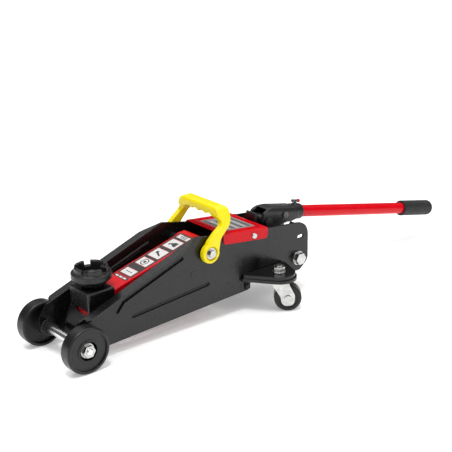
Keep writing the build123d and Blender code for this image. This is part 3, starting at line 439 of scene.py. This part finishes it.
FINISHES = {
    # the third colour: light flecks, and on the edges partly worn paint and partly a painted highlight
    "frame_black": paint(
        "black_paint", (0.005, 0.005, 0.0053), (0.008, 0.008, 0.0085), (0.05, 0.05, 0.05),
        (0.20, 0.30), 1.6, 0.42),
    # the pinkish third colour: light flecks, and on the edges partly worn paint and partly a painted
    # highlight
    "red_paint": paint(
        "red_paint", (0.62, 0.001, 0.008), (0.68, 0.002, 0.010), (0.74, 0.05, 0.05),
        (0.16, 0.26), 2.0, 0.2),
    "zinc": plated("zinc_plate", (0.60, 0.60, 0.59), (0.44, 0.45, 0.44), (0.16, 0.32)),
    "steel_dark": plated(
        "black_oxide_steel", (0.13, 0.13, 0.135), (0.09, 0.09, 0.09), (0.3, 0.46)),
    "cast_black": cast(
        "coated_casting", (0.005, 0.005, 0.0055), (0.009, 0.009, 0.0095), 0.05, (0.28, 0.42)),
    "cast_grey": cast("grey_casting", (0.05, 0.05, 0.053), (0.07, 0.07, 0.073), 0.09, (0.45, 0.6)),
    "chrome": plated("hard_chrome", (0.80, 0.80, 0.82), (0.76, 0.76, 0.78), (0.05, 0.1)),
    "wheel_black": moulded(
        "moulded_nylon", (0.008, 0.0078, 0.0078), (0.012, 0.0115, 0.0115), (0.27, 0.42),
        0.9, 0.02, 0.8),
    "grip_rubber": moulded(
        "grip_rubber", (0.012, 0.012, 0.013), (0.018, 0.018, 0.019), (0.50, 0.68), 0.7, 0.07),
    "seal_rubber": moulded(
        "seal_rubber", (0.022, 0.022, 0.022), (0.03, 0.03, 0.03), (0.5, 0.6), 0.6, 0.03),
    "yellow_plastic": moulded(
        "yellow_plastic", (0.98, 0.80, 0.0), (0.94, 0.75, 0.0), (0.30, 0.42), 1.2, 0.02),
}


# ================================================================ CAD nodes
def finish_cad_nodes():
    """Give every CAD node the finish of its material slot."""
    rows = frame["record"]["subparts"]
    finish_of = {row["node"]: FINISHES[row["material_slot"]] for row in rows}
    finish_of["front_axle"] = axle_finish()
    for name, finish in finish_of.items():
        nodes[name].data.materials.clear()
        nodes[name].data.materials.append(finish)


def round_casting(name, voxel_mm, smooth_steps):
    """Round a cast or moulded CAD node all over, as its mould does."""
    node = nodes[name]
    weld = node.modifiers.new("weld", "WELD")
    weld.merge_threshold = 1e-6
    remesh = node.modifiers.new("remesh", "REMESH")
    remesh.mode = "VOXEL"
    remesh.voxel_size = voxel_mm * MM
    remesh.use_smooth_shade = True
    smooth = node.modifiers.new("smooth", "SMOOTH")
    smooth.factor = 0.5
    smooth.iterations = smooth_steps


# ================================================================ labels
def web_place():
    """Frame of the arm's web: U along the slope from WEB_X, V across, W off the surface."""
    return label_frame(math.atan(WEB_SLOPE), jack(WEB_X, 0, WEB_Z))


def cover_place():
    """Frame of the cover's top: U back along the slope, V across, W off the surface."""
    return label_frame(math.atan(COVER_SLOPE), jack(COVER_X, 0, COVER_Z))


def label_frame(slope, origin):
    """Matrix from a label's own millimetres to the row frame, on a face with this slope."""
    place = Matrix.Identity(4)
    place.col[0][:3] = Vector((math.cos(slope), 0, math.sin(slope))) * MM
    place.col[1][:3] = Vector((0, 1, 0)) * MM
    place.col[2][:3] = Vector((-math.sin(slope), 0, math.cos(slope))) * MM
    place.col[3][:3] = origin
    return place


def along_web(x):
    """Distance along the web of a point at this X."""
    return (x - WEB_X) / math.cos(math.atan(WEB_SLOPE))


def label_piece(name, bm, material, colours, body):
    """Turn a bmesh into a printed piece with its own material."""
    mesh_piece(name, bm, printed(material, *colours), body)


def web_patch(bm, span, radius, place):
    """Film over a stretch of the arm's web, as wide as the label."""
    u0 = along_web(span[0])
    u1 = along_web(span[1])
    prism(bm, rounded(u0, u1, -ARM_LABEL_HALF, ARM_LABEL_HALF, radius), 0.0, LABEL_T, place)


def box_outline(u0, u1, grow, radius):
    """Outline of a box on the arm's label, grown outwards."""
    half = ARM_BOX_HALF + grow
    return rounded(u0 - grow, u1 + grow, -half, half, radius)


def strip_tiles(bm, place):
    """Light tiles on the narrow strip ahead of the arm's label."""
    u = along_web(ARM_STRIP_X[0])
    for k in range(STRIP_TILES):
        v = STRIP_TILE_STEP * (k - 1)
        tile = rounded(u + STRIP_TILE_U[0], u + STRIP_TILE_U[1],
                       v - STRIP_TILE_HALF, v + STRIP_TILE_HALF, STRIP_TILE_R)
        prism(bm, tile, LABEL_T, LABEL_T + MARK_T, place)


def arm_label():
    """Instruction label on the arm: dark field, light boxes, red trim and plain pictograms."""
    place = web_place()
    top = LABEL_T + MARK_T
    field = bmesh.new()
    web_patch(field, ARM_LABEL_X, ARM_LABEL_R, place)
    web_patch(field, ARM_STRIP_X, ARM_STRIP_R, place)
    label_piece("arm_label_field", field, "label_black",
                ((0.016, 0.016, 0.017), (0.022, 0.022, 0.023)), "arm")
    boxes = bmesh.new()
    trim = bmesh.new()
    marks = bmesh.new()
    for i, (start, end) in enumerate(ARM_BOX_SPANS):
        u0 = along_web(start)
        u1 = along_web(end)
        prism(boxes, box_outline(u0, u1, 0.0, ARM_BOX_R), LABEL_T, top, place)
        ring_prism(trim, box_outline(u0, u1, *TRIM_OUTSIDE), box_outline(u0, u1, *TRIM_INSIDE),
                   LABEL_T, top, place)
        pictogram(marks, i, (u0 + u1) / 2, top, place)
    strip_tiles(boxes, place)
    label_piece("arm_label_boxes", boxes, "label_white",
                ((0.72, 0.72, 0.71), (0.66, 0.66, 0.66)), "arm")
    label_piece("arm_label_trim", trim, "label_red",
                ((0.55, 0.01, 0.02), (0.5, 0.01, 0.02)), "arm")
    label_piece("arm_label_marks", marks, "label_ink",
                ((0.02, 0.02, 0.02), (0.03, 0.03, 0.03)), "arm")


def pictogram(bm, kind, u, low, place):
    """One plain pictogram: a dash row, a ring with a block, an arrow, a wedge or bars."""
    high = low + MARK_T
    if kind == 0:
        for k in range(3):
            v = 5 * k
            prism(bm, rounded(u - 1, u + 1, v - 6.5, v - 3.5, 0.4), low, high, place)
    elif kind == 1:
        ring_prism(bm, circle(u, 0, 7.0), circle(u, 0, 5.4), low, high, place)
        prism(bm, rounded(u - 2.2, u + 2.2, -2.6, 2.6, 0.6), low, high, place)
    elif kind == 2:
        prism(bm, [(u + du, v) for du, v in ARROW], low, high, place)
    elif kind == 3:
        prism(bm, [(u + du, v) for du, v in WEDGE], low, high, place)
        prism(bm, circle(u - 2, 6, 2.0), low, high, place)
    else:
        for k in range(4):
            start = u - 5.5 + 3 * k
            reach = 8 - 3 * (k % 2)
            prism(bm, rounded(start, start + 1.4, -8, reach, 0.4), low, high, place)


def cover_label():
    """Grey rating panel on the cover, with plain bars for its rows."""
    place = cover_place()
    u0 = COVER_LABEL_X[0] - COVER_X
    u1 = COVER_LABEL_X[1] - COVER_X
    half = COVER_LABEL_HALF
    field = bmesh.new()
    prism(field, rounded(u0, u1, -half, half, COVER_LABEL_R), 0.0, LABEL_T, place)
    label_piece("cover_label_field", field, "label_grey",
                ((0.22, 0.22, 0.225), (0.27, 0.27, 0.27)), "frame")
    light_bars = bmesh.new()
    dark_bars = bmesh.new()
    step = (u1 - u0 - 2 * COVER_MARGIN) / COVER_BARS
    for k in range(COVER_BARS):
        u = u0 + COVER_MARGIN + step * k
        reach = half - BAR_INSET - BAR_STAGGER * (k % 3)
        bar = rounded(u + BAR_GAP, u + step * BAR_FILL, -half + BAR_INSET, reach, BAR_R)
        prism(light_bars if k % 2 else dark_bars, bar, LABEL_T, LABEL_T + MARK_T, place)
    label_piece("cover_label_light_bars", light_bars, "label_pale",
                ((0.5, 0.5, 0.5), (0.45, 0.45, 0.45)), "frame")
    label_piece("cover_label_dark_bars", dark_bars, "label_dark",
                ((0.06, 0.06, 0.06), (0.08, 0.08, 0.08)), "frame")


# ================================================================ welds, threads and the screw cap
def bead(name, points, finish, body):
    """Weld bead along a closed ring of points: a tube with ripples."""

    def radius_at(i):
        return BEAD_R * MM * (1 + BEAD_RIPPLE * math.cos(math.pi * i / 2))

    bm = bmesh.new()
    tube(bm, points, radius_at, loop=True)
    shade_smooth(mesh_piece(name, bm, FINISHES[finish], body), 80)


def ring_points(centre, radius_mm, count):
    """Points round a circle in the XZ plane."""
    points = []
    for i in range(count):
        angle = 2 * math.pi * i / count
        points.append(centre + Vector((math.cos(angle), 0, math.sin(angle))) * radius_mm * MM)
    return points


def weld_beads():
    """Beads at the arm's bush and the axle collars."""
    for side, word in SIDES:
        bush = jack(ARM_PIVOT[0], side * BUSH_WELD_Y, ARM_PIVOT[1])
        bead(f"bush_weld_{word}", ring_points(bush, BUSH_WELD_R, BUSH_WELD_POINTS),
             "red_paint", "arm")
        collar = jack(FRONT_AXLE[0], side * COLLAR_WELD_Y, FRONT_AXLE[1])
        bead(f"collar_weld_{word}", ring_points(collar, COLLAR_WELD_R, COLLAR_WELD_POINTS),
             "frame_black", "frame")


def thread(name, start, direction, radius_mm, length_mm, body):
    """Threaded end of a bolt or axle, as a rippled bar with flat ends."""
    rows = int(length_mm / THREAD_PITCH * THREAD_ROWS) + 1
    along = direction.normalized()
    side = along.orthogonal().normalized()
    up = along.cross(side)
    bm = bmesh.new()
    grid = []
    for i in range(rows):
        run = length_mm * i / (rows - 1)
        row = []
        for k in range(THREAD_SEGMENTS):
            turn = k / THREAD_SEGMENTS
            phase = (run / THREAD_PITCH - turn) % 1.0
            crest = 1 - abs(2 * phase - 1)
            radius = radius_mm * MM * (1 - THREAD_DEPTH * crest)
            angle = 2 * math.pi * turn
            offset = side * math.cos(angle) + up * math.sin(angle)
            row.append(bm.verts.new(start + along * run * MM + offset * radius))
        grid.append(row)
    skin(bm, grid)
    shade_smooth(mesh_piece(name, bm, FINISHES["zinc"], body), 50)


def threads():
    """Threaded ends of the front axle, the caster stems and the bracket bolt."""
    for side, word in SIDES:
        start, end, radius = AXLE_THREAD
        place = jack(FRONT_AXLE[0], side * start, FRONT_AXLE[1])
        thread(f"axle_thread_{word}", place, Vector((0, side, 0)), radius, end - start, "frame")
        start, end, radius = STEM_THREAD
        place = jack(CASTER_STEM[0], side * CASTER_STEM[1], start)
        thread(f"stem_thread_{word}", place, Vector((0, 0, 1)), radius, end - start, "frame")
    start, end, radius = BOLT_THREAD
    place = jack(BRACKET_BOLT[0], start, BRACKET_BOLT[1])
    thread("bracket_bolt_thread", place, Vector((0, 1, 0)), radius, end - start, "bracket")


def screw_tip():
    """Red cap on the rear end of the clamp screw's cross bar."""
    bm = bmesh.new()
    dip = math.radians(HANDLE_DIP)
    along = Vector((math.cos(dip), 0, -math.sin(dip)))
    off = Vector((math.sin(dip), 0, math.cos(dip)))
    middle = jack(SOCKET_PIVOT[0], 0, SOCKET_PIVOT[1]) + (along * TIP_U + off * TIP_W) * MM
    turns = [math.pi * k / (2 * TIP_STEPS) for k in range(-TIP_STEPS, TIP_STEPS + 1)]
    points = [middle + along * (TIP_REACH * math.sin(turn) * MM) for turn in turns]

    def radius_at(i):
        return TIP_R * MM * max(TIP_END, math.cos(turns[i]))

    tube(bm, points, radius_at, count=TIP_SEGMENTS)
    shade_smooth(mesh_piece("screw_tip", bm, FINISHES["red_paint"], "handle"), 70)


# ================================================================ studio
def camera():
    """Camera ahead of the jack and off to its right, slightly above it."""
    a = math.radians(CAMERA_AZIMUTH)
    e = math.radians(CAMERA_ELEVATION)
    r = math.radians(CAMERA_ROLL)
    back = Vector((-math.sin(a) * math.cos(e), -math.cos(a) * math.cos(e), math.sin(e)))
    right = Vector((math.cos(a), -math.sin(a), 0))
    up = back.cross(right)
    rolled_right = right * math.cos(r) + up * math.sin(r)
    rolled_up = up * math.cos(r) - right * math.sin(r)
    data = bpy.data.cameras.new("camera")
    data.sensor_width = CAMERA_SENSOR
    data.lens = CAMERA_LENS
    item = bpy.data.objects.new("camera", data)
    bpy.context.scene.collection.objects.link(item)
    place = Matrix.Identity(4)
    place.col[0][:3] = rolled_right
    place.col[1][:3] = rolled_up
    place.col[2][:3] = back
    place.col[3][:3] = jack(*CAMERA_TARGET_MM) + back * CAMERA_DISTANCE
    item.matrix_world = place
    bpy.context.scene.camera = item


def light(kind, name, place, aim, power):
    """Light of one kind, placed and aimed at a point."""
    data = bpy.data.lights.new(name, kind)
    data.energy = power
    item = bpy.data.objects.new(name, data)
    item.location = place
    item.rotation_mode = "QUATERNION"
    item.rotation_quaternion = (Vector(aim) - Vector(place)).to_track_quat("-Z", "Y")
    bpy.context.scene.collection.objects.link(item)
    return data


def sun(name, place, strength, spread):
    """Sun light from a place, spread over an angle in degrees."""
    data = light("SUN", name, place, (0, 0, 0), strength)
    data.angle = math.radians(spread)


def softbox(name, place, width, height, power):
    """Rectangular area light aimed at the jack."""
    data = light("AREA", name, place, SOFTBOX_AIM, power)
    data.shape = "RECTANGLE"
    data.size = width
    data.size_y = height


def studio_floor():
    """Large round floor, which is not part of the jack."""
    bm = bmesh.new()
    bmesh.ops.create_circle(bm, cap_ends=True, segments=64, radius=FLOOR_RADIUS)
    mesh = bpy.data.meshes.new("floor")
    bm.to_mesh(mesh)
    bm.free()
    floor = bpy.data.objects.new("floor", mesh)
    bpy.context.scene.collection.objects.link(floor)
    mesh.materials.append(floor_finish())


def studio():
    """Pale floor under a broad light and a key light, dim surroundings and two softboxes."""
    studio_floor()
    world = bpy.data.worlds.new("studio")
    world.use_nodes = True
    background = world.node_tree.nodes["Background"]
    background.inputs["Color"].default_value = (1, 1, 1, 1)
    background.inputs["Strength"].default_value = WORLD_STRENGTH
    bpy.context.scene.world = world
    bpy.context.scene.view_settings.view_transform = "Standard"
    sun("broad", BROAD_FROM, BROAD_STRENGTH, BROAD_SPREAD)
    sun("key", KEY_FROM, KEY_STRENGTH, KEY_SPREAD)
    for name, place, width, height, power in SOFTBOXES:
        softbox(name, place, width, height, power)


finish_cad_nodes()
for casting, voxel, steps in ROUNDED:
    round_casting(casting, voxel, steps)
arm_label()
cover_label()
weld_beads()
threads()
screw_tip()
studio()
camera()
